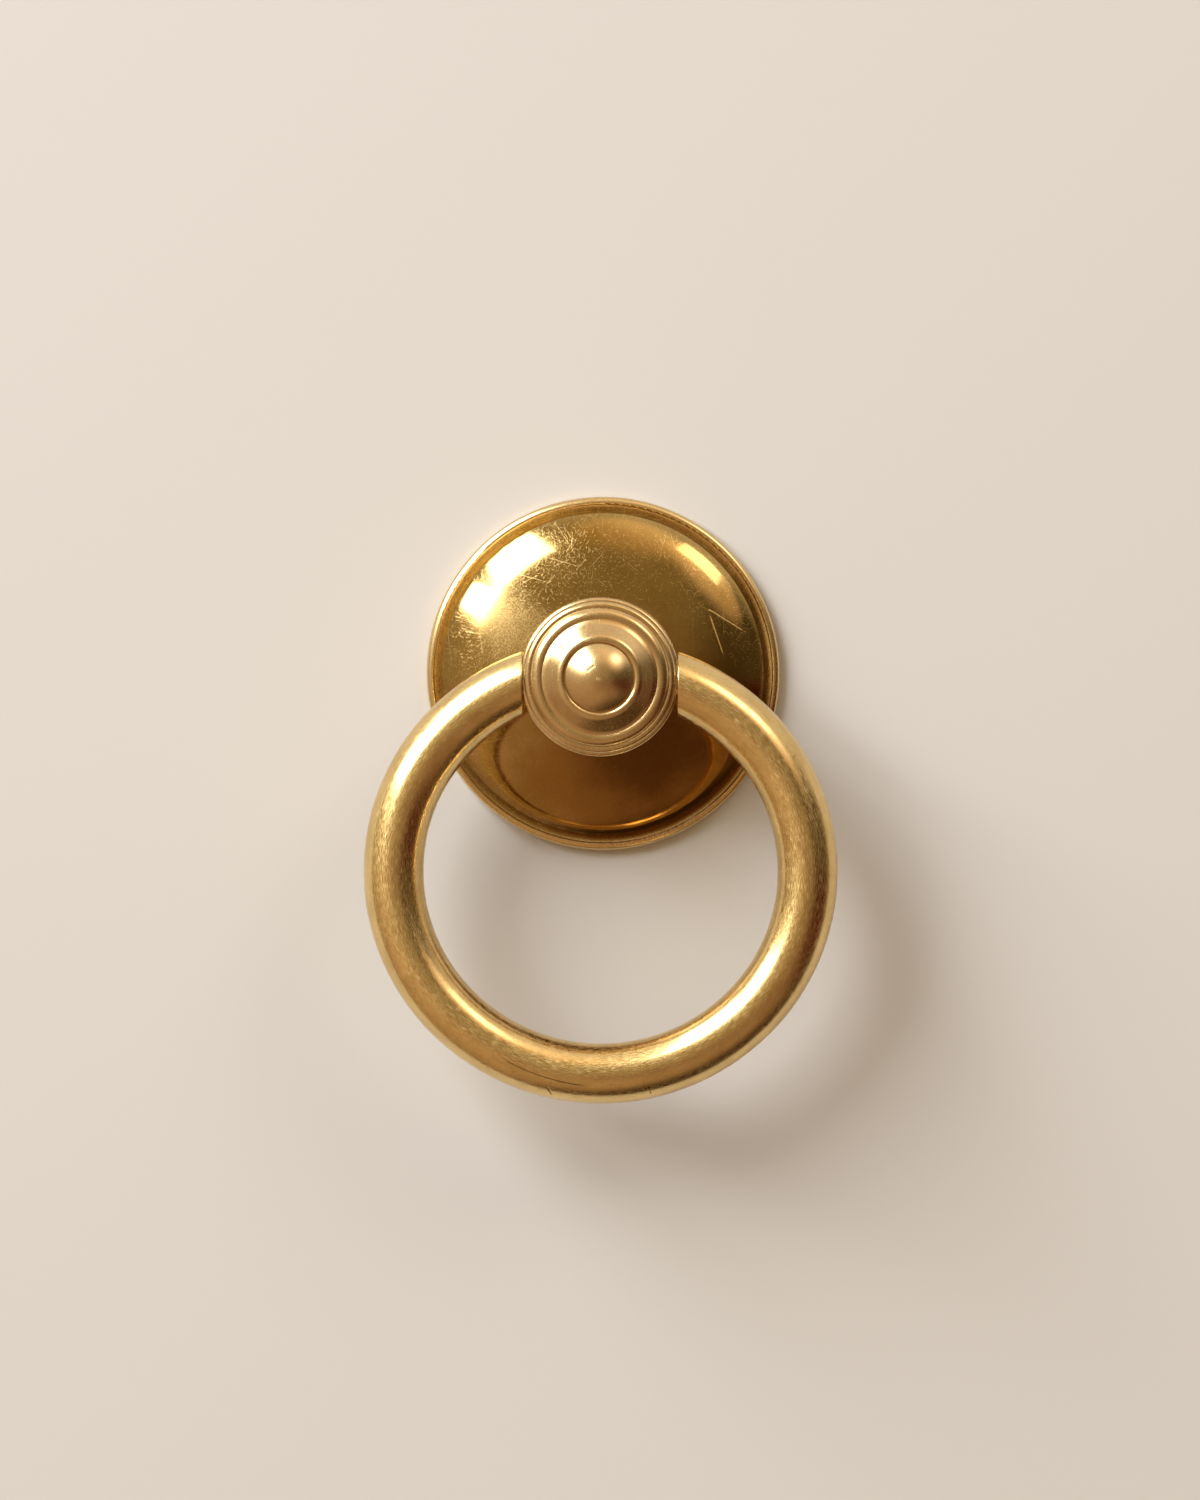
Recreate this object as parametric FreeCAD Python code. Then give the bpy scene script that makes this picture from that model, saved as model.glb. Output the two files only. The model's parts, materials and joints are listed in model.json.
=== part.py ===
import FreeCAD, Part
import math
import os

# Ring pull handle: a domed rose, a turned post with a stepped finial, and a ring that swings on the post.
# Millimetres. The door's face is the plane y = 0, the front faces -Y and +Z is up.
# The origin is on the post's axis, in the plane of the rose's back.
# Heights are measured off the door, so a height h lies at y = -h.

# Rose
ROSE_DIAMETER = 38.0
ROSE_RIM_HEIGHT = 1.65
ROSE_BEAD_OUTER_ROUND = 0.63
ROSE_BEAD_INNER_ROUND = 0.22
ROSE_GROOVE_WIDTH = 0.9
ROSE_GROOVE_TILT = 16.0
ROSE_DOME_RISE = 4.5
ROSE_DOME_BASE = 1.2
ROSE_DOME_OVERRUN = 0.55
ROSE_WALL = 1.9
ROSE_LAND_WIDTH = 3.0
ROSE_BOSS_WALL = 2.4
ROSE_BACK_CHAMFER = 0.2
ROSE_SEAT_MARGIN = 0.5

# Post, from its tail to the head that carries the ring
SPIGOT_DIAMETER = 8.0
SPIGOT_CLEARANCE = 0.05
TAIL_SETBACK = 0.15
TAIL_CHAMFER = 0.3
FOOT_DIAMETER = 12.5
FOOT_THICKNESS = 1.2
NECK_DIAMETER = 9.2
NECK_FLARE = 0.7
NECK_LENGTH = 3.1
HEAD_DIAMETER = 16.7
HEAD_REAR_WALL = 1.75
HEAD_FRONT_WALL = 0.75
HEAD_FLAT_DEPTH = 0.3
HEAD_FRONT_LAND = 0.05

# Tapped hole for the fixing bolt, at its core diameter
THREAD_CORE_DIAMETER = 3.3
THREAD_CHAMFER = 0.2
THREAD_END_WALL = 2.0
DRILL_POINT_ANGLE = 118.0

# Finial, from its outer bead to the button in the middle
RIM_BEAD_SETBACK = 0.1
RIM_BEAD_STEP = 0.2
RIM_BEAD_WIDTH = 0.66
RIM_BEAD_CREST = 0.47
RIM_BEAD_RISE = 0.3
SECOND_BEAD_STEP = 0.06
SECOND_BEAD_WIDTH = 1.2
SECOND_BEAD_CREST = 0.85
SECOND_BEAD_RISE = 0.53
OGEE_FOOT_TILT = 15.0
OGEE_HOLLOW_RADIUS = 1.3
OGEE_TILT = 40.0
OGEE_SLOPE_LENGTH = 1.4
OGEE_ROUND_RADIUS = 0.8
LIP_WIDTH = 0.37
LIP_DEPTH = 0.2
BUTTON_RISE = 1.4

# Ring and its pivot pins
RING_WIDTH = 50.1
RING_HEIGHT = 49.2
ROD_DIAMETER = 6.35
SHOULDER_CLEARANCE = 0.1
SHOULDER_RADIUS = 0.15
PIN_DIAMETER = 4.0
PIN_CLEARANCE = 0.05
PIN_ENGAGEMENT = 3.5
PIN_ROOT = 0.8
PIN_CHAMFER = 0.3
PIN_RISE = 0.7

# Radii and heights that follow from the sizes above
rose_r = ROSE_DIAMETER / 2
bead_crest_r = rose_r - ROSE_BEAD_OUTER_ROUND
bead_inner_r = bead_crest_r - ROSE_BEAD_INNER_ROUND
dome_edge_r = bead_inner_r - ROSE_GROOVE_WIDTH
dome_r = dome_edge_r + ROSE_DOME_OVERRUN
recess_r = rose_r - ROSE_LAND_WIDTH
recess_h = ROSE_DOME_BASE + ROSE_DOME_RISE - ROSE_WALL

spigot_r = SPIGOT_DIAMETER / 2
foot_r = FOOT_DIAMETER / 2
neck_r = NECK_DIAMETER / 2
head_r = HEAD_DIAMETER / 2
flat_x = head_r - HEAD_FLAT_DEPTH
rim_r = flat_x - RIM_BEAD_SETBACK
rod_r = ROD_DIAMETER / 2
pin_r = PIN_DIAMETER / 2
pivot_hole_r = pin_r + PIN_CLEARANCE

seat_r = foot_r + ROSE_SEAT_MARGIN
seat_h = ROSE_DOME_BASE + ROSE_DOME_RISE * math.sqrt(1 - (seat_r / dome_r) ** 2)
foot_top_h = seat_h + FOOT_THICKNESS
head_rear_h = foot_top_h + NECK_LENGTH
pivot_h = head_rear_h + HEAD_REAR_WALL + pivot_hole_r
head_front_h = pivot_h + pivot_hole_r + HEAD_FRONT_WALL
shoulder_x = flat_x + SHOULDER_CLEARANCE

AXIS_POINT = FreeCAD.Vector(0, 0, 0)
FRONT = FreeCAD.Vector(0, -1, 0)
RIGHT = FreeCAD.Vector(1, 0, 0)


def point(r, h):
    """A point of a half-section, from its radius and its height off the door."""
    return FreeCAD.Vector(r, -h, 0)


class HalfSection:
    """A half-section drawn from point to point, then turned about the post's axis."""

    def __init__(self, r, h):
        self.start = point(r, h)
        self.end = self.start
        self.edges = []

    def line(self, r, h):
        target = point(r, h)
        self.edges.append(Part.LineSegment(self.end, target).toShape())
        self.end = target

    def arc(self, via, to):
        middle = point(*via)
        target = point(*to)
        self.edges.append(Part.Arc(self.end, middle, target).toShape())
        self.end = target

    def arc_about(self, centre, to):
        """An arc of under half a turn about a centre."""
        hub = point(*centre)
        target = point(*to)
        radius = (self.end - hub).Length
        middle = hub + ((self.end - hub) + (target - hub)).normalize() * radius
        self.edges.append(Part.Arc(self.end, middle, target).toShape())
        self.end = target

    def step(self, rise):
        """A straight step away from the door."""
        self.line(self.end.x, rise - self.end.y)

    def bead(self, width, crest, rise):
        """A bead drawn inwards, whose crest lies this far in from its outer edge and this far above it."""
        outer_r = self.end.x
        outer_h = -self.end.y
        radius = (crest**2 + rise**2) / (2 * rise)
        centre_h = outer_h + rise - radius
        inner_h = centre_h + math.sqrt(radius**2 - (width - crest) ** 2)
        self.arc((outer_r - crest, outer_h + rise), (outer_r - width, inner_h))

    def ellipse(self, half_width, rise, base_h, r):
        """Part of an ellipse that is centred on the axis, as far as radius r."""
        target = point(r, base_h + rise * math.sqrt(1 - (r / half_width) ** 2))
        curve = Part.Ellipse(point(half_width, base_h), point(0, base_h + rise), point(0, base_h))
        ends = sorted((curve.parameter(self.end), curve.parameter(target)))
        self.edges.append(Part.ArcOfEllipse(curve, *ends).toShape())
        self.end = target

    def turned(self):
        if self.end.distanceToPoint(self.start) > 0:
            self.edges.append(Part.LineSegment(self.end, self.start).toShape())
        return Part.Face(Part.Wire(self.edges)).revolve(AXIS_POINT, FRONT, 360)


def make_rose():
    hole_r = spigot_r + SPIGOT_CLEARANCE
    boss_r = hole_r + ROSE_BOSS_WALL
    section = HalfSection(hole_r, seat_h)
    section.line(seat_r, seat_h)
    section.ellipse(dome_r, ROSE_DOME_RISE, ROSE_DOME_BASE, dome_edge_r)
    # Groove round the dome, its floor rising to the rim bead, which is rounder outside than in
    bead_foot_h = ROSE_RIM_HEIGHT - ROSE_BEAD_INNER_ROUND
    groove_rise = ROSE_GROOVE_WIDTH * math.tan(math.radians(ROSE_GROOVE_TILT))
    section.line(dome_edge_r, bead_foot_h - groove_rise)
    section.line(bead_inner_r, bead_foot_h)
    section.arc_about((bead_crest_r, bead_foot_h), (bead_crest_r, ROSE_RIM_HEIGHT))
    rim_edge_h = ROSE_RIM_HEIGHT - ROSE_BEAD_OUTER_ROUND
    section.arc_about((bead_crest_r, rim_edge_h), (rose_r, rim_edge_h))
    section.line(rose_r, ROSE_BACK_CHAMFER)
    section.line(rose_r - ROSE_BACK_CHAMFER, 0)
    # Flat land round the hollow back, and the boss in its middle
    section.line(recess_r, 0)
    section.ellipse(recess_r, recess_h, 0, boss_r)
    section.line(boss_r, 0)
    section.line(hole_r, 0)
    return section.turned()


def draw_stem(section):
    """Spigot, foot and neck, as far as the rear face of the head."""
    section.line(spigot_r - TAIL_CHAMFER, TAIL_SETBACK)
    section.line(spigot_r, TAIL_SETBACK + TAIL_CHAMFER)
    section.line(spigot_r, seat_h)
    foot_edge_r = FOOT_THICKNESS / 2
    section.line(foot_r - foot_edge_r, seat_h)
    section.arc((foot_r, seat_h + foot_edge_r), (foot_r - foot_edge_r, foot_top_h))
    neck_end_r = neck_r + NECK_FLARE
    section.line(neck_end_r, foot_top_h)
    section.arc((neck_r, (foot_top_h + head_rear_h) / 2), (neck_end_r, head_rear_h))


def draw_head(section):
    """The drum that carries the ring, with both of its edges rounded."""
    edge_r = rim_r + HEAD_FRONT_LAND
    rounding = head_r - edge_r
    rear_spring_h = head_rear_h + rounding
    front_spring_h = head_front_h - rounding
    section.line(edge_r, head_rear_h)
    section.arc_about((edge_r, rear_spring_h), (head_r, rear_spring_h))
    section.line(head_r, front_spring_h)
    section.arc_about((edge_r, front_spring_h), (edge_r, head_front_h))
    section.line(rim_r, head_front_h)


def draw_finial(section):
    """Two beads that crest near their inner edges, an ogee up to a lip, and the domed button inside the lip."""
    section.step(RIM_BEAD_STEP)
    section.bead(RIM_BEAD_WIDTH, RIM_BEAD_CREST, RIM_BEAD_RISE)
    section.step(SECOND_BEAD_STEP)
    section.bead(SECOND_BEAD_WIDTH, SECOND_BEAD_CREST, SECOND_BEAD_RISE)
    # Ogee: a hollow arc that steepens to the full tilt, a straight slope and a round arc up to the lip
    foot_tilt = math.radians(OGEE_FOOT_TILT)
    tilt = math.radians(OGEE_TILT)
    hollow_r = section.end.x + OGEE_HOLLOW_RADIUS * math.sin(foot_tilt)
    hollow_h = OGEE_HOLLOW_RADIUS * math.cos(foot_tilt) - section.end.y
    slope_r = hollow_r - OGEE_HOLLOW_RADIUS * math.sin(tilt)
    slope_h = hollow_h - OGEE_HOLLOW_RADIUS * math.cos(tilt)
    section.arc_about((hollow_r, hollow_h), (slope_r, slope_h))
    roll_r = slope_r - OGEE_SLOPE_LENGTH * math.cos(tilt)
    roll_h = slope_h + OGEE_SLOPE_LENGTH * math.sin(tilt)
    section.line(roll_r, roll_h)
    lip_r = roll_r - OGEE_ROUND_RADIUS * math.sin(tilt)
    lip_h = roll_h + OGEE_ROUND_RADIUS * (1 - math.cos(tilt))
    section.arc_about((lip_r, lip_h - OGEE_ROUND_RADIUS), (lip_r, lip_h))
    # The lip rolls over into the groove round the button
    button_r = lip_r - LIP_WIDTH
    button_h = lip_h - LIP_DEPTH
    lip_roll_r = (LIP_WIDTH**2 + LIP_DEPTH**2) / (2 * LIP_DEPTH)
    section.arc_about((lip_r, lip_h - lip_roll_r), (button_r, button_h))
    dome_radius = (button_r**2 + BUTTON_RISE**2) / (2 * BUTTON_RISE)
    section.arc_about((0, button_h + BUTTON_RISE - dome_radius), (0, button_h + BUTTON_RISE))


def make_tapped_hole():
    """The drilled and countersunk hole in the post's tail, as a solid to take away."""
    core_r = THREAD_CORE_DIAMETER / 2
    end_h = pivot_h - pivot_hole_r - THREAD_END_WALL
    point_length = core_r / math.tan(math.radians(DRILL_POINT_ANGLE / 2))
    section = HalfSection(0, 0)
    section.line(core_r + THREAD_CHAMFER, 0)
    section.line(core_r + THREAD_CHAMFER, TAIL_SETBACK)
    section.line(core_r, TAIL_SETBACK + THREAD_CHAMFER)
    section.line(core_r, end_h - point_length)
    section.line(0, end_h)
    return section.turned()


def make_flat(side):
    """What is milled off one side of the head, so that the ring's shoulder bears on a flat."""
    block = Part.makeBox(head_r, head_front_h - head_rear_h, HEAD_DIAMETER)
    block.translate(FreeCAD.Vector(flat_x, -head_front_h, -head_r))
    return block if side > 0 else block.mirror(AXIS_POINT, RIGHT)


def make_post():
    section = HalfSection(0, TAIL_SETBACK)
    draw_stem(section)
    draw_head(section)
    draw_finial(section)
    body = section.turned()
    pivot_hole = Part.makeCylinder(pivot_hole_r, HEAD_DIAMETER, FreeCAD.Vector(-head_r, -pivot_h, 0), RIGHT)
    return body.cut([make_tapped_hole(), pivot_hole, make_flat(1), make_flat(-1)])


def make_rod_arc(centre, radius, start_deg, end_deg):
    """A length of round rod bent to an arc in the ring's plane, with angles from +X towards +Z."""
    angle = math.radians(start_deg)
    outward = FreeCAD.Vector(math.cos(angle), 0, math.sin(angle))
    along = FreeCAD.Vector(-math.sin(angle), 0, math.cos(angle))
    section = Part.makeCircle(rod_r, centre + outward * radius, along)
    return Part.Face(Part.Wire(section)).revolve(centre, FRONT, end_deg - start_deg)


def make_pin(side):
    """A pivot pin turned on one end of the ring, chamfered at its tip."""
    tip_x = flat_x - PIN_ENGAGEMENT
    pin = Part.makeCylinder(pin_r, shoulder_x + PIN_ROOT - tip_x, FreeCAD.Vector(tip_x, -pivot_h, 0), RIGHT)
    tip_edges = [edge for edge in pin.Edges if edge.BoundBox.XMax < tip_x + PIN_CHAMFER]
    pin = pin.makeChamfer(PIN_CHAMFER, tip_edges)
    return pin if side > 0 else pin.mirror(AXIS_POINT, RIGHT)


def make_ring():
    # The rod's centre line is an oval of four arcs that meet on the diagonals
    half_width = (RING_WIDTH - ROD_DIAMETER) / 2
    half_height = (RING_HEIGHT - ROD_DIAMETER) / 2
    offset = (half_width - half_height) / (2 - math.sqrt(2))
    side_r = half_width - offset
    top_r = half_height + offset
    # The ring hangs so that its pins leave the rod's ends a little above their middle
    shoulder_z = math.sqrt(top_r**2 - shoulder_x**2) - offset
    ring_z = -shoulder_z - PIN_RISE
    side_centres = [FreeCAD.Vector(side * offset, -pivot_h, ring_z) for side in (1, -1)]
    top_centre = FreeCAD.Vector(0, -pivot_h, ring_z - offset)
    bottom_centre = FreeCAD.Vector(0, -pivot_h, ring_z + offset)
    rod = make_rod_arc(side_centres[0], side_r, -45, 45)
    rod = rod.fuse(
        [
            make_rod_arc(top_centre, top_r, 45, 135),
            make_rod_arc(side_centres[1], side_r, 135, 225),
            make_rod_arc(bottom_centre, top_r, 225, 315),
        ]
    )
    # The top is cut away between the shoulders, and their edges are rounded
    gap = Part.makeBox(shoulder_x * 2, ROD_DIAMETER * 2, half_height + ROD_DIAMETER)
    gap.translate(FreeCAD.Vector(-shoulder_x, -pivot_h - ROD_DIAMETER, ring_z))
    rod = rod.cut(gap)
    end_faces = [face for face in rod.Faces if isinstance(face.Surface, Part.Plane)]
    shoulder_edges = [edge for face in end_faces for edge in face.Edges]
    rod = rod.makeFillet(SHOULDER_RADIUS, shoulder_edges)
    return rod.fuse([make_pin(1), make_pin(-1)])


os.makedirs("parts", exist_ok=True)
make_rose().exportStep("parts/rose.step")
make_post().exportStep("parts/post.step")
make_ring().exportStep("parts/ring.step")
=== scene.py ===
import json
import math
from collections import namedtuple

import bpy
from mathutils import Matrix, Vector


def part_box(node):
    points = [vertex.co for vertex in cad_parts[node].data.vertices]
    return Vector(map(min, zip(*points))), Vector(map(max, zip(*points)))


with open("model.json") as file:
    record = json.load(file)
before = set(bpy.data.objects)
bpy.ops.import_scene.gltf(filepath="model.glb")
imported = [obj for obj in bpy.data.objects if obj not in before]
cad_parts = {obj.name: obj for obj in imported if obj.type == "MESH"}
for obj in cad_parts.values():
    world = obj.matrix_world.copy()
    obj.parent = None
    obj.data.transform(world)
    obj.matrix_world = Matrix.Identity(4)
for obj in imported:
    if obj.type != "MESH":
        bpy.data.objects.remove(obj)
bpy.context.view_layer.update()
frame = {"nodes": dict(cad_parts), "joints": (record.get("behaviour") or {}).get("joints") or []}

# Lengths here are in metres; MM turns a millimetre size into one.
MM = 0.001

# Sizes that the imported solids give, and the height that the ring's oval has with its top not cut away.
_, rose_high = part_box("rose")
ring_low, ring_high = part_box("ring")
pivot = Vector(frame["joints"][0]["pos_m"])
ROSE_RADIUS = rose_high.x
ROD_RADIUS = (ring_high.y - ring_low.y) / 2
RING_RADIUS = ring_high.x - ROD_RADIUS
RING_HEIGHT = 49.2 * MM
RING_CENTRE = Vector((0.0, pivot.y, ring_low.z + RING_HEIGHT / 2))

# The photograph's camera: its place before the door, the point it looks at and what it takes in.
CAMERA_DISTANCE = 650 * MM
CAMERA_RIGHT = 15 * MM
CAMERA_UP = 16 * MM
AIM = Vector((-0.36 * MM, 0.0, -8.26 * MM))
FRAME_HEIGHT = 161.5 * MM
SENSOR_WIDTH = 36.0

# The wall that the handle hangs on, open behind the rose so that its hollow back gets light.
WALL_RADIUS = 1.2
WALL_OPENING = ROSE_RADIUS - 0.3 * MM
WALL_SEGMENTS = 96
WALL_COLOUR = (0.62, 0.61, 0.6, 1.0)
WORLD_COLOUR = (0.86, 0.85, 0.83, 1.0)

# The room that the metal mirrors: a far shell, its colours and the line where its floor begins.
ROOM_RADIUS = 3.0
ROOM_SEGMENTS = 48
ROOM_WALLS = (0.38, 0.28, 0.145, 1.0)
ROOM_FLOOR = (0.36, 0.22, 0.12, 1.0)
ROOM_DARK = (0.02, 0.011, 0.005)
FLOOR_LINE = -0.02
FLOOR_BLUR = 0.12

# Soft patches in the room: where each lies, its full and faded reach in degrees, and the colour it adds.
Patch = namedtuple("Patch", "azimuth off_axis full faded tint")
ROOM_PATCHES = {
    "left_wall": Patch(azimuth=172, off_axis=50, full=15, faded=55, tint=(0.1, 0.09, 0.07)),
    "right_wall": Patch(azimuth=4, off_axis=54, full=18, faded=42, tint=(-0.28, -0.21, -0.115)),
    "ceiling": Patch(azimuth=66, off_axis=92, full=28, faded=56, tint=(0.44, 0.42, 0.42)),
    "beams": Patch(azimuth=80, off_axis=52, full=8, faded=24, tint=(0.42, 0.26, 0.12)),
    "right_glow": Patch(azimuth=42, off_axis=51, full=9, faded=20, tint=(0.8, 0.58, 0.4)),
    "floor_glow": Patch(azimuth=228, off_axis=45, full=12, faded=45, tint=(0.12, 0.09, 0.055)),
    "floor_edge": Patch(azimuth=295, off_axis=105, full=30, faded=62, tint=(-0.3, -0.19, -0.11)),
    "camera_side": Patch(azimuth=300, off_axis=14, full=4, faded=22, tint=(-0.06, -0.04, -0.02)),
}

# Soft boxes, all at one distance: where each lies, its width and height in degrees, radiance and colour.
LIGHT_DISTANCE = 1.6
COOL_LIGHT = (0.95, 0.98, 1.0)
PLAIN_LIGHT = (1.0, 0.99, 0.96)
CREAM_LIGHT = (1.0, 0.96, 0.9)
WARM_LIGHT = (1.0, 0.95, 0.88)
Panel = namedtuple("Panel", "azimuth off_axis width height radiance colour")
LIGHT_PANELS = {
    "window_main": Panel(azimuth=129, off_axis=61, width=20, height=48, radiance=11.0, colour=COOL_LIGHT),
    "window_side": Panel(azimuth=151.5, off_axis=59, width=10, height=45, radiance=13.0, colour=PLAIN_LIGHT),
    "window_right": Panel(azimuth=49, off_axis=57, width=17, height=19, radiance=3.0, colour=WARM_LIGHT),
    "behind": Panel(azimuth=60, off_axis=140, width=60, height=60, radiance=1.6, colour=CREAM_LIGHT),
    "behind_low": Panel(azimuth=200, off_axis=125, width=40, height=60, radiance=1.2, colour=WARM_LIGHT),
}

# Colours of the brass: pale, bright or handled, dulled, browned and deep brown with age, and the dark of
# tarnish and painted shade in corners.
PALE_BRASS = (0.86, 0.65, 0.34, 1.0)
BRIGHT_BRASS = (0.84, 0.6, 0.27, 1.0)
HANDLED_BRASS = (0.84, 0.62, 0.28, 1.0)
DULL_BRASS = (0.46, 0.3, 0.095, 1.0)
OLIVE_BRASS = (0.41, 0.27, 0.082, 1.0)
BROWN_BRASS = (0.34, 0.17, 0.042, 1.0)
DEEP_BROWN = (0.17, 0.072, 0.014, 1.0)
# Tarnish and painted shade, laid into grooves and inside corners by how closed in they are.
CORNER_DIRT_AND_SHADE = (0.1, 0.05, 0.015, 1.0)

# Scratches: the cell that holds one, its length and half its width. A second layer is shifted.
Hairs = namedtuple("Hairs", "cell length half_width")
FINE_HAIRS = Hairs(cell=0.45 * MM, length=0.42 * MM, half_width=0.014 * MM)
MIXED_HAIRS = Hairs(cell=0.9 * MM, length=0.85 * MM, half_width=0.016 * MM)
LONG_HAIRS = Hairs(cell=2.4 * MM, length=2.3 * MM, half_width=0.02 * MM)
STRAY_HAIRS = Hairs(cell=6.5 * MM, length=6.5 * MM, half_width=0.03 * MM)
HAIR_SHIFT = Vector((3.3 * MM, 1.7 * MM, 0.0))
HAIR_DEPTH = 0.002 * MM

# Single marks: from, to and width. Depths are how far each kind cuts in.
Mark = namedtuple("Mark", "start end width")
MARK_DEPTH = 0.03 * MM
KNOCK_DEPTH = 0.012 * MM

# Noise: the size of its clouds, its octaves and their weight, and the value that it lies round.
Noise = namedtuple("Noise", "size detail roughness")
NOISE_MIDDLE = 0.5

# A smooth step: to_low where a value is at low, to_high where it is at high.
Step = namedtuple("Step", "low high to_low to_high", defaults=(0.0, 1.0))

# Grooves and inside corners, darkened with tarnish and painted shade: how near another surface has to be, and
# the open share of the sky there.
CORNER_REACH = 0.5 * MM
CORNER_SAMPLES = 6
CORNER_STEP = Step(0.75, 0.35)

# The rose's age: clouds of tarnish, and a grain of scratches too small to see one by one.
ROSE_CLOUDS = Noise(6 * MM, 5.0, 0.6)
ROSE_DULLED = Step(0.3, 0.62, to_low=1.0, to_high=0.8)
GRAIN = Noise(0.11 * MM, 5.0, 0.8)
GRAIN_STEP = Step(0.48, 0.7)
SCUFF_PATCHES = Step(0.35, 0.6, to_low=0.35, to_high=1.0)

# The rose's brown stain: its middle, right of and above the post's axis, the reach of its tones, its edge.
STAIN_MIDDLE = Vector((4.5 * MM, -7.5 * MM, 0.0))
STAIN_FADE = Step(17 * MM, 9 * MM)
DEEP_STAIN_FADE = Step(9.5 * MM, 3.5 * MM)
STAIN_RAGGED = 7 * MM

# The most scuffed patch of the rose, left of and above the post, and its reach.
HAZE_MIDDLE = Vector((-9.0 * MM, 4.8 * MM, 0.0))
HAZE_FADE = Step(6.0 * MM, 1.5 * MM)

# The rose's rim: its bead is rubbed pale, and from the groove outward the polish is satin.
RIM_BEAD = Step(ROSE_RADIUS - 1.15 * MM, ROSE_RADIUS - 0.75 * MM)
RIM_SATIN = Step(ROSE_RADIUS - 1.9 * MM, ROSE_RADIUS - 1.5 * MM)

# The deepest strokes on the rose's dome, right of and above the post's axis.
DOME_STROKES = (
    Mark(start=(11.4 * MM, 6.6 * MM), end=(13.0 * MM, 1.9 * MM), width=0.2 * MM),
    Mark(start=(11.2 * MM, 7.1 * MM), end=(15.2 * MM, 4.6 * MM), width=0.13 * MM),
)

# The polish of the rose is never quite flat: wide low waves and their height.
WAVES = Noise(5 * MM, 1.0, 0.5)
WAVE_HEIGHT = 0.006 * MM

# How much each mask shows in the rose's colour, and how much stain and rim are spared from scratches.
HAZE_SHARE = 0.3
RIM_SHARE = 0.7
SCUFF_SHARE = 0.3
SCORED_SHARE = 0.8
# How much tarnish and painted shade darken the rose's grooves.
ROSE_DIRT_AND_SHADE_SHARE = 0.4
SPARED_SHARE = 0.75

# The rose's roughness where it is clean, and what each mask adds to it.
ROSE_POLISH = 0.05
ROSE_ROUGHENED = {"clouds": 0.06, "satin": 0.17, "scuffs": 0.26, "scored": 0.35, "dirt_and_shade": 0.3}

# The post's age, its lines from the lathe, and the tarnish and painted shade in its turned lines.
POST_CLOUDS = Noise(3 * MM, 4.0, 0.6)
POST_BROWNED = Step(0.3, 0.75, to_low=0.14, to_high=0.42)
POST_DIRT_AND_SHADE_SHARE = 0.8
LATHE_LINES = Noise(0.12 * MM, 3.0, 0.5)
LATHE_DEPTH = 0.0015 * MM

# The knock on the finial's button, and the rough spot that the lathe left in its middle.
BUTTON_KNOCK = Mark(start=(-1.35 * MM, 0.65 * MM), end=(-0.35 * MM, 1.35 * MM), width=0.5 * MM)
BUTTON_SPOT = Step(0.35 * MM, 0.175 * MM)
SPOT_GRAIN = Noise(0.25 * MM, 2.0, 0.5)

# The post's roughness, on the button and past the lip round it, and what each mask adds to it.
POST_POLISH = Step(3.5 * MM, 4.1 * MM, to_low=0.22, to_high=0.2)
POST_ROUGHENED = {"clouds": 0.08, "scratches": 0.2, "dirt_and_shade": 0.3}

# The ring's age: stains, lines and brush marks drawn out along the rod, and specks.
RING_CLOUDS = Noise(2.2 * MM, 6.0, 0.62)
CLOUD_STRETCH = 0.6
RING_STAINED = Step(0.35, 0.66, to_low=0.0, to_high=0.32)
DRAWN_LINES = Noise(0.2 * MM, 3.0, 0.5)
DRAWN_STRETCH = 0.03
DRAWN_STEP = Step(0.5, 0.75)
DRAWN_DEPTH = 0.0025 * MM
BRUSH_MARKS = Noise(0.045 * MM, 2.0, 0.6)
BRUSH_STRETCH = 0.05
BRUSH_STEP = Step(0.46, 0.68)
SPECKS = Noise(0.45 * MM, 3.0, 0.5)
SPECK_STEP = Step(0.66, 0.74)

# Nicks in the ring, along it from its lowest point and round the rod from its front.
RING_NICKS = (
    Mark(start=(-5.2 * MM, 1.6 * MM), end=(-4.6 * MM, 2.9 * MM), width=0.3 * MM),
    Mark(start=(5.0 * MM, 1.2 * MM), end=(4.9 * MM, 2.7 * MM), width=0.3 * MM),
    Mark(start=(-11.0 * MM, 0.2 * MM), end=(-1.0 * MM, 0.7 * MM), width=0.2 * MM),
)

# How much each mask shows in the ring's colour.
DRAWN_SHARE = 0.2
RUBBED_SHARE = 0.7
SPECK_SHARE = 0.45
SPOILED_SHARE = 0.8

# The ring's roughness, what each mask adds to it, and how far the drawn lines spread its highlights.
RING_POLISH = 0.17
RING_ROUGHENED = {"brushed": 0.32, "stains": 0.06, "scratches": 0.1}
DRAWN_SPREAD = 0.35

# The colour sockets of a Mix node, which share their names with its other sockets.
MIX_FIRST = 6
MIX_SECOND = 7
MIX_RESULT = 2

# Vector operations whose result is a plain number.
NUMBER_OPERATIONS = ("DOT_PRODUCT", "LENGTH", "DISTANCE")

QUARTER_TURN = 90


def towards(azimuth, off_axis):
    """The direction off_axis degrees from straight in front, at this clock angle: 0 is right and 90 is up."""
    turn = math.radians(azimuth)
    tilt = math.radians(off_axis)
    return Vector((math.sin(tilt) * math.cos(turn), -math.cos(tilt), math.sin(tilt) * math.sin(turn)))


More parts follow.
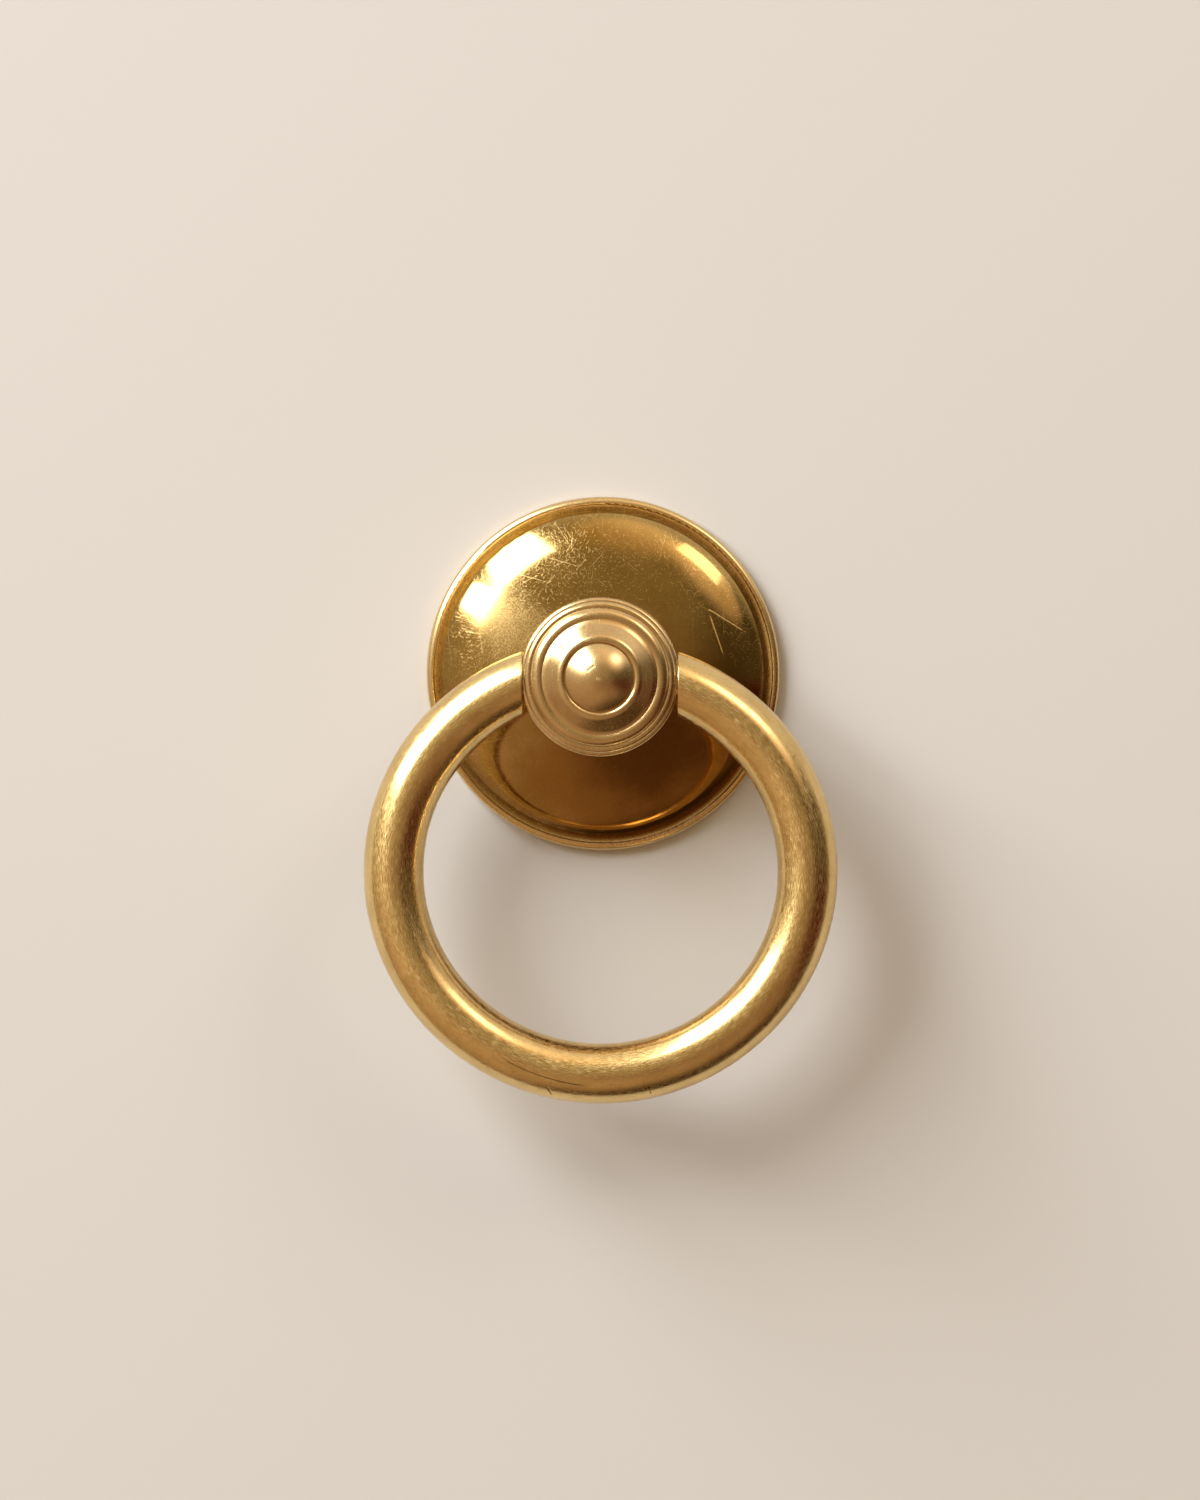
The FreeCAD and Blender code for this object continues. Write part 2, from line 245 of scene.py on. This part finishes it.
class Graph:
    """A node tree under construction, with a short call for each kind of node that the finishes use."""

    def __init__(self, name):
        self.material = bpy.data.materials.new(name)
        self.material.use_nodes = True
        self.tree = self.material.node_tree
        self.tree.nodes.clear()

    def plug(self, socket, value):
        """Links an output to the socket, or sets the socket's own value."""
        if isinstance(value, bpy.types.NodeSocket):
            self.tree.links.new(value, socket)
        else:
            socket.default_value = value

    def node(self, kind, settings=None, inputs=None):
        made = self.tree.nodes.new(kind)
        for name, value in (settings or {}).items():
            setattr(made, name, value)
        for name, value in (inputs or {}).items():
            self.plug(made.inputs[name], value)
        return made

    def math(self, operation, *values, clamp=False):
        made = self.node("ShaderNodeMath", {"operation": operation, "use_clamp": clamp})
        for socket, value in zip(made.inputs, values):
            self.plug(socket, value)
        return made.outputs[0]

    def vector(self, operation, *values):
        made = self.node("ShaderNodeVectorMath", {"operation": operation})
        for socket, value in zip(made.inputs, values):
            self.plug(socket, value)
        return made.outputs["Value" if operation in NUMBER_OPERATIONS else "Vector"]

    def scale(self, vector, share):
        made = self.node("ShaderNodeVectorMath", {"operation": "SCALE"}, {"Scale": share})
        self.plug(made.inputs[0], vector)
        return made.outputs["Vector"]

    def split(self, vector):
        return self.node("ShaderNodeSeparateXYZ", inputs={"Vector": vector}).outputs

    def join(self, x, y, z):
        return self.node("ShaderNodeCombineXYZ", inputs={"X": x, "Y": y, "Z": z}).outputs["Vector"]

    def place(self):
        """A point's place in the part's frame, which moves with its piece."""
        return self.node("ShaderNodeTexCoord").outputs["Object"]

    def normal(self):
        return self.node("ShaderNodeNewGeometry").outputs["Normal"]

    def noise(self, vector, size, detail, roughness):
        """Cloudy noise from 0 to 1, with clouds about size metres across."""
        inputs = {"Vector": vector, "Scale": 1 / size, "Detail": detail, "Roughness": roughness}
        return self.node("ShaderNodeTexNoise", inputs=inputs).outputs["Fac"]

    def remap(self, value, low, high, to_low=0.0, to_high=1.0):
        """A smooth step from to_low at low to to_high at high."""
        inputs = {"Value": value, "From Min": low, "From Max": high, "To Min": to_low, "To Max": to_high}
        return self.node("ShaderNodeMapRange", {"interpolation_type": "SMOOTHSTEP"}, inputs).outputs["Result"]

    def mix(self, factor, first, second):
        made = self.node("ShaderNodeMix", {"data_type": "RGBA"})
        self.plug(made.inputs["Factor"], factor)
        self.plug(made.inputs[MIX_FIRST], first)
        self.plug(made.inputs[MIX_SECOND], second)
        return made.outputs[MIX_RESULT]

    def surface(self, shader):
        """Ends the tree with this shader on the surface."""
        output = self.node("ShaderNodeOutputMaterial")
        self.tree.links.new(shader, output.inputs["Surface"])
        return self.material


def add_camera():
    data = bpy.data.cameras.new("camera")
    data.sensor_width = SENSOR_WIDTH
    data.lens = SENSOR_WIDTH * CAMERA_DISTANCE / FRAME_HEIGHT
    camera = bpy.data.objects.new("camera", data)
    camera.location = (CAMERA_RIGHT, -CAMERA_DISTANCE, CAMERA_UP)
    camera.rotation_euler = (AIM - camera.location).to_track_quat("-Z", "Y").to_euler()
    bpy.context.scene.collection.objects.link(camera)
    bpy.context.scene.camera = camera


def add_stage_mesh(name, points, faces, material):
    mesh = bpy.data.meshes.new(name)
    mesh.from_pydata(points, [], faces)
    mesh.materials.append(material)
    made = bpy.data.objects.new(name, mesh)
    bpy.context.scene.collection.objects.link(made)
    return made


def wall_material():
    """Pale matt paint in front; from behind the wall isn't there, so the handle's back can be seen."""
    graph = Graph("wall_paint")
    back = graph.node("ShaderNodeNewGeometry").outputs["Backfacing"]
    paint = graph.node("ShaderNodeBsdfDiffuse", inputs={"Color": WALL_COLOUR}).outputs["BSDF"]
    clear = graph.node("ShaderNodeBsdfTransparent").outputs["BSDF"]
    either = graph.node("ShaderNodeMixShader", inputs={"Fac": back})
    graph.plug(either.inputs[1], paint)
    graph.plug(either.inputs[2], clear)
    return graph.surface(either.outputs["Shader"])


def add_wall():
    """A flat disc in the plane of the rose's back, with a round opening that the rose covers."""
    points = []
    for radius in (WALL_OPENING, WALL_RADIUS):
        for step in range(WALL_SEGMENTS):
            turn = 2 * math.pi * step / WALL_SEGMENTS
            points.append((radius * math.cos(turn), rose_high.y, radius * math.sin(turn)))
    faces = []
    for step in range(WALL_SEGMENTS):
        after = (step + 1) % WALL_SEGMENTS
        faces.append((step, WALL_SEGMENTS + step, WALL_SEGMENTS + after, after))
    add_stage_mesh("wall", points, faces, wall_material())


def room_material():
    """A dim warm room over a brown floor; each patch lightens or darkens it round its own direction."""
    graph = Graph("room_shell")
    ray = graph.vector("NORMALIZE", graph.node("ShaderNodeNewGeometry").outputs["Position"])
    floor_share = graph.remap(graph.split(ray)["Z"], FLOOR_LINE, FLOOR_LINE - FLOOR_BLUR)
    colour = graph.mix(floor_share, ROOM_WALLS, ROOM_FLOOR)
    for patch in ROOM_PATCHES.values():
        near = graph.vector("DOT_PRODUCT", ray, towards(patch.azimuth, patch.off_axis))
        share = graph.remap(near, math.cos(math.radians(patch.faded)), math.cos(math.radians(patch.full)))
        colour = graph.vector("ADD", colour, graph.scale(patch.tint, share))
    lit = graph.vector("MAXIMUM", colour, ROOM_DARK)
    glow = graph.node("ShaderNodeEmission", inputs={"Color": lit}).outputs["Emission"]
    return graph.surface(glow)


def add_room():
    """A ball round the handle that only reflections see."""
    points = []
    faces = []
    rows = ROOM_SEGMENTS // 2
    for row in range(rows + 1):
        tilt = math.pi * row / rows
        for step in range(ROOM_SEGMENTS):
            turn = 2 * math.pi * step / ROOM_SEGMENTS
            ray = Vector((math.sin(tilt) * math.cos(turn), math.sin(tilt) * math.sin(turn), math.cos(tilt)))
            points.append(ray * ROOM_RADIUS)
    for row in range(rows):
        for step in range(ROOM_SEGMENTS):
            after = (step + 1) % ROOM_SEGMENTS
            low = row * ROOM_SEGMENTS
            high = low + ROOM_SEGMENTS
            faces.append((low + step, high + step, high + after, low + after))
    room = add_stage_mesh("room", points, faces, room_material())
    room.visible_camera = False
    room.visible_shadow = False
    room.data.materials[0].cycles.emission_sampling = "NONE"


def add_panel(name, panel):
    """A rectangular soft box turned to the handle; its height runs away from the camera's line."""
    ray = towards(panel.azimuth, panel.off_axis)
    outward = towards(panel.azimuth, panel.off_axis + QUARTER_TURN)
    across = outward.cross(ray)
    data = bpy.data.lights.new(name, "AREA")
    data.shape = "RECTANGLE"
    data.size = 2 * LIGHT_DISTANCE * math.tan(math.radians(panel.width / 2))
    data.size_y = 2 * LIGHT_DISTANCE * math.tan(math.radians(panel.height / 2))
    data.energy = panel.radiance * math.pi * data.size * data.size_y
    data.color = panel.colour
    light = bpy.data.objects.new(name, data)
    turn = Matrix((across, outward, ray)).transposed()
    light.matrix_world = Matrix.Translation(ray * LIGHT_DISTANCE) @ turn.to_4x4()
    light.visible_camera = False
    bpy.context.scene.collection.objects.link(light)


def set_world():
    world = bpy.data.worlds.new("pale_room")
    world.use_nodes = True
    world.node_tree.nodes["Background"].inputs["Color"].default_value = WORLD_COLOUR
    bpy.context.scene.world = world


def hairs(graph, plane, cell, length, half_width):
    """Fine straight scratches, one in each cell of the plane, each at its own angle and weight."""
    settings = {"voronoi_dimensions": "2D"}
    cells = graph.node("ShaderNodeTexVoronoi", settings, {"Vector": plane, "Scale": 1 / cell})
    offset = graph.vector("SUBTRACT", plane, cells.outputs["Position"])
    chance = graph.node("ShaderNodeSeparateColor", inputs={"Color": cells.outputs["Color"]}).outputs
    angle = graph.math("MULTIPLY", chance["Red"], 2 * math.pi)
    turning = {"Vector": offset, "Angle": angle}
    turned = graph.node("ShaderNodeVectorRotate", {"rotation_type": "Z_AXIS"}, turning).outputs["Vector"]
    sides = graph.split(turned)
    line = graph.remap(graph.math("ABSOLUTE", sides["X"]), half_width, 0.0)
    reach = graph.remap(graph.math("ABSOLUTE", sides["Y"]), length / 2, length / 4)
    return graph.math("MULTIPLY", graph.math("MULTIPLY", line, reach), chance["Green"])


def mark(graph, plane, start, end, width):
    """One deep scratch between two points of the plane."""
    run = Vector((*end, 0.0)) - Vector((*start, 0.0))
    middle = Vector((*start, 0.0)) + run / 2
    offset = graph.vector("SUBTRACT", plane, middle)
    ahead = run.normalized()
    aside = Vector((-ahead.y, ahead.x, 0.0))
    along = graph.math("ABSOLUTE", graph.vector("DOT_PRODUCT", offset, ahead))
    across = graph.math("ABSOLUTE", graph.vector("DOT_PRODUCT", offset, aside))
    line = graph.remap(across, width / 2, 0.0)
    return graph.math("MULTIPLY", line, graph.remap(along, run.length / 2, run.length / 3))


def largest(graph, values):
    """The largest of several masks, point by point."""
    most = values[0]
    for value in values[1:]:
        most = graph.math("MAXIMUM", most, value)
    return most


def corners(graph):
    """1 in the grooves and inside corners, 0 on open surfaces: where tarnish and painted shade darken the
    colour.
    """
    settings = {"samples": CORNER_SAMPLES, "only_local": True}
    sky = graph.node("ShaderNodeAmbientOcclusion", settings, {"Distance": CORNER_REACH}).outputs["AO"]
    return graph.remap(sky, *CORNER_STEP)


def bump(graph, height, depth, normal=None):
    """The normal of a surface raised by height, on top of the bumps that it has already."""
    inputs = {"Height": height, "Distance": depth}
    if normal is not None:
        inputs["Normal"] = normal
    return graph.node("ShaderNodeBump", inputs=inputs).outputs["Normal"]


def groove(graph, mask, depth, normal):
    """The normal of a surface that the mask cuts into."""
    return bump(graph, graph.math("SUBTRACT", 1.0, mask), depth, normal)


def turned_normal(graph, plane):
    """The normal of a turned surface, which lies in the plane of its axis, so that no facet shows."""
    normal = graph.normal()
    sides = graph.split(graph.vector("NORMALIZE", plane))
    outward = graph.join(sides["X"], 0.0, sides["Y"])
    lean = graph.scale(outward, graph.vector("DOT_PRODUCT", normal, outward))
    ahead = graph.join(0.0, graph.split(normal)["Y"], 0.0)
    return graph.vector("NORMALIZE", graph.vector("ADD", lean, ahead))


def front_plane(graph, place):
    """A place seen from the front: right, up and no depth."""
    axes = graph.split(place)
    return graph.join(axes["X"], axes["Z"], 0.0)


def roughen(graph, polish, shares, masks):
    """The roughness of the polish, and on top of it each named mask's share."""
    total = polish
    for name, share in shares.items():
        total = graph.math("MULTIPLY_ADD", masks[name], share, total, clamp=True)
    return total


def metal(graph, colour, roughness, normal, tangent=None):
    inputs = {"Base Color": colour, "Metallic": 1.0, "Roughness": roughness, "Normal": normal}
    if tangent is not None:
        inputs["Anisotropic"] = DRAWN_SPREAD
        inputs["Tangent"] = tangent
    return graph.surface(graph.node("ShaderNodeBsdfPrincipled", inputs=inputs).outputs["BSDF"])


def rose_stains(graph, plane, clouds):
    """The rose's brown stain and its deep middle, both with a ragged edge."""
    distance = graph.vector("DISTANCE", plane, STAIN_MIDDLE)
    ragged = graph.math("MULTIPLY_ADD", graph.math("SUBTRACT", clouds, NOISE_MIDDLE), STAIN_RAGGED, distance)
    return graph.remap(ragged, *STAIN_FADE), graph.remap(ragged, *DEEP_STAIN_FADE)


def rose_hairs(graph, plane):
    """Scratches of every length in two layers."""
    kinds = (FINE_HAIRS, MIXED_HAIRS, LONG_HAIRS, STRAY_HAIRS)
    sheets = (plane, graph.vector("ADD", plane, HAIR_SHIFT))
    return largest(graph, [hairs(graph, sheet, *kind) for sheet in sheets for kind in kinds])


def dome_strokes(graph, plane):
    """The deep strokes, on the rose's front only."""
    front = graph.math("LESS_THAN", graph.split(graph.normal())["Y"], 0.0)
    strokes = largest(graph, [mark(graph, plane, *stroke) for stroke in DOME_STROKES])
    return graph.math("MULTIPLY", strokes, front)


def rose_masks(graph, place, plane):
    """Where the rose is clouded, stained, rubbed and scratched, and where its grooves hold tarnish and
    painted shade: masks by name, from 0 to 1.
    """
    clouds = graph.noise(place, *ROSE_CLOUDS)
    radius = graph.vector("LENGTH", plane)
    rim = graph.remap(radius, *RIM_BEAD)
    haze = graph.remap(graph.vector("DISTANCE", plane, HAZE_MIDDLE), *HAZE_FADE)
    stain, deep_stain = rose_stains(graph, plane, clouds)
    bare = graph.math("MULTIPLY_ADD", graph.math("MAXIMUM", stain, rim), -SPARED_SHARE, 1.0)
    scratches = graph.math("MULTIPLY", rose_hairs(graph, plane), bare)
    strokes = dome_strokes(graph, plane)
    grain = graph.remap(graph.noise(place, *GRAIN), *GRAIN_STEP)
    patches = graph.math("MULTIPLY", bare, graph.remap(clouds, *SCUFF_PATCHES))
    return {
        "clouds": clouds,
        "rim": rim,
        "haze": haze,
        "satin": graph.math("MAXIMUM", haze, graph.remap(radius, *RIM_SATIN)),
        "stain": stain,
        "deep_stain": deep_stain,
        "scratches": scratches,
        "strokes": strokes,
        "scored": graph.math("MAXIMUM", graph.math("MULTIPLY", scratches, SCORED_SHARE), strokes),
        "scuffs": graph.math("MULTIPLY", grain, patches),
        "dirt_and_shade": corners(graph),
    }


def rose_colour(graph, masks):
    """Dull brass, browned by the stain, pale on the rim, bright where it is scratched, and darkened in the
    grooves by tarnish and painted shade.
    """
    dull = graph.mix(graph.remap(masks["clouds"], *ROSE_DULLED), BRIGHT_BRASS, OLIVE_BRASS)
    stained = graph.mix(masks["stain"], dull, BROWN_BRASS)
    browned = graph.mix(masks["deep_stain"], stained, DEEP_BROWN)
    hazy = graph.mix(graph.math("MULTIPLY", masks["haze"], HAZE_SHARE), browned, BRIGHT_BRASS)
    aged = graph.mix(graph.math("MULTIPLY", masks["rim"], RIM_SHARE), hazy, PALE_BRASS)
    worn = graph.math("MULTIPLY_ADD", masks["scuffs"], SCUFF_SHARE, masks["scored"], clamp=True)
    rubbed = graph.mix(worn, aged, BRIGHT_BRASS)
    return graph.mix(graph.math("MULTIPLY", masks["dirt_and_shade"], ROSE_DIRT_AND_SHADE_SHARE), rubbed, CORNER_DIRT_AND_SHADE)


def rose_material():
    """Dull with age under scratches every way, stained brown below the post, its rim rubbed bright."""
    graph = Graph("rose_finish")
    place = graph.place()
    plane = front_plane(graph, place)
    masks = rose_masks(graph, place, plane)
    roughness = roughen(graph, ROSE_POLISH, ROSE_ROUGHENED, masks)
    waves = bump(graph, graph.noise(place, *WAVES), WAVE_HEIGHT, turned_normal(graph, plane))
    scratched = groove(graph, masks["scratches"], HAIR_DEPTH, waves)
    marked = groove(graph, masks["strokes"], MARK_DEPTH, scratched)
    return metal(graph, rose_colour(graph, masks), roughness, marked)


def post_material():
    """Turned and polished: fine rings from the lathe, tarnish and painted shade in the turned lines, a knock
    on the button.
    """
    graph = Graph("post_finish")
    place = graph.place()
    plane = front_plane(graph, place)
    radius = graph.vector("LENGTH", plane)
    masks = {
        "clouds": graph.noise(place, *POST_CLOUDS),
        "scratches": largest(graph, [hairs(graph, plane, *kind) for kind in (FINE_HAIRS, MIXED_HAIRS)]),
        "dirt_and_shade": corners(graph),
    }
    aged = graph.mix(graph.remap(masks["clouds"], *POST_BROWNED), PALE_BRASS, BROWN_BRASS)
    colour = graph.mix(graph.math("MULTIPLY", masks["dirt_and_shade"], POST_DIRT_AND_SHADE_SHARE), aged, CORNER_DIRT_AND_SHADE)
    roughness = roughen(graph, graph.remap(radius, *POST_POLISH), POST_ROUGHENED, masks)
    profile = graph.join(radius, graph.split(place)["Y"], 0.0)
    turned = bump(graph, graph.noise(profile, *LATHE_LINES), LATHE_DEPTH)
    scratched = groove(graph, masks["scratches"], HAIR_DEPTH, turned)
    spot = graph.math("MULTIPLY", graph.noise(place, *SPOT_GRAIN), graph.remap(radius, *BUTTON_SPOT))
    dented = graph.math("SUBTRACT", spot, mark(graph, plane, *BUTTON_KNOCK))
    return metal(graph, colour, roughness, bump(graph, dented, KNOCK_DEPTH, scratched))


def rod_surface(graph, axes, below):
    """The rod's surface laid flat: how far along the ring from its lowest point, and round the rod."""
    from_centre = graph.vector("LENGTH", graph.join(axes["X"], axes["Z"], 0.0))
    outward = graph.math("SUBTRACT", from_centre, RING_RADIUS)
    to_front = graph.math("MULTIPLY", axes["Y"], -1.0)
    along = graph.math("MULTIPLY", graph.math("ARCTAN2", axes["X"], below), RING_RADIUS)
    around = graph.math("MULTIPLY", graph.math("ARCTAN2", outward, to_front), ROD_RADIUS)
    return along, around


def drawn_out(graph, along, around, stretch):
    """The flat surface with all that lies along the rod drawn out; the smaller stretch is, the longer."""
    return graph.join(graph.math("MULTIPLY", along, stretch), around, 0.0)


def ring_masks(graph, place, along, around):
    """Where the ring is stained, drawn, brushed, scratched, nicked and specked: masks by name."""
    sheet = graph.join(along, around, 0.0)
    kinds = (FINE_HAIRS, MIXED_HAIRS, LONG_HAIRS)
    clouds = graph.noise(drawn_out(graph, along, around, CLOUD_STRETCH), *RING_CLOUDS)
    brush = graph.noise(drawn_out(graph, along, around, BRUSH_STRETCH), *BRUSH_MARKS)
    return {
        "stains": graph.remap(clouds, *RING_STAINED),
        "drawn": graph.noise(drawn_out(graph, along, around, DRAWN_STRETCH), *DRAWN_LINES),
        "brushed": graph.remap(brush, *BRUSH_STEP),
        "scratches": largest(graph, [hairs(graph, sheet, *kind) for kind in kinds]),
        "nicks": largest(graph, [mark(graph, sheet, *nick) for nick in RING_NICKS]),
        "specks": graph.remap(graph.noise(place, *SPECKS), *SPECK_STEP),
    }


def ring_colour(graph, masks):
    """Handled brass, duller in stains and drawn lines, bright where scratched, brown in nicks and specks."""
    lines = graph.remap(masks["drawn"], *DRAWN_STEP)
    streaked = graph.math("MULTIPLY_ADD", lines, DRAWN_SHARE, masks["stains"], clamp=True)
    aged = graph.mix(streaked, HANDLED_BRASS, DULL_BRASS)
    rubbed = graph.mix(graph.math("MULTIPLY", masks["scratches"], RUBBED_SHARE), aged, BRIGHT_BRASS)
    specks = graph.math("MULTIPLY", masks["specks"], SPECK_SHARE)
    spoiled = graph.math("MAXIMUM", masks["nicks"], specks)
    return graph.mix(graph.math("MULTIPLY", spoiled, SPOILED_SHARE), rubbed, DEEP_BROWN)


def ring_material():
    """Satin from years of hands: drawn lines along the rod, hairs across it, stains and a few nicks."""
    graph = Graph("ring_finish")
    place = graph.place()
    axes = graph.split(graph.vector("SUBTRACT", place, RING_CENTRE))
    below = graph.math("MULTIPLY", axes["Z"], -1.0)
    along, around = rod_surface(graph, axes, below)
    masks = ring_masks(graph, place, along, around)
    roughness = roughen(graph, RING_POLISH, RING_ROUGHENED, masks)
    lines = bump(graph, masks["drawn"], DRAWN_DEPTH)
    scratched = groove(graph, masks["scratches"], HAIR_DEPTH, lines)
    nicked = groove(graph, masks["nicks"], MARK_DEPTH, scratched)
    turning = graph.join(below, 0.0, axes["X"])
    settings = {"vector_type": "VECTOR", "convert_from": "OBJECT", "convert_to": "WORLD"}
    tangent = graph.node("ShaderNodeVectorTransform", settings, {"Vector": turning}).outputs["Vector"]
    return metal(graph, ring_colour(graph, masks), roughness, nicked, tangent)


def dress(node, material):
    frame["nodes"][node].data.materials[0] = material


add_camera()
add_wall()
add_room()
for panel_name, soft_box in LIGHT_PANELS.items():
    add_panel(panel_name, soft_box)
set_world()
dress("rose", rose_material())
dress("post", post_material())
dress("ring", ring_material())

bpy.context.scene.view_settings.view_transform = "Standard"
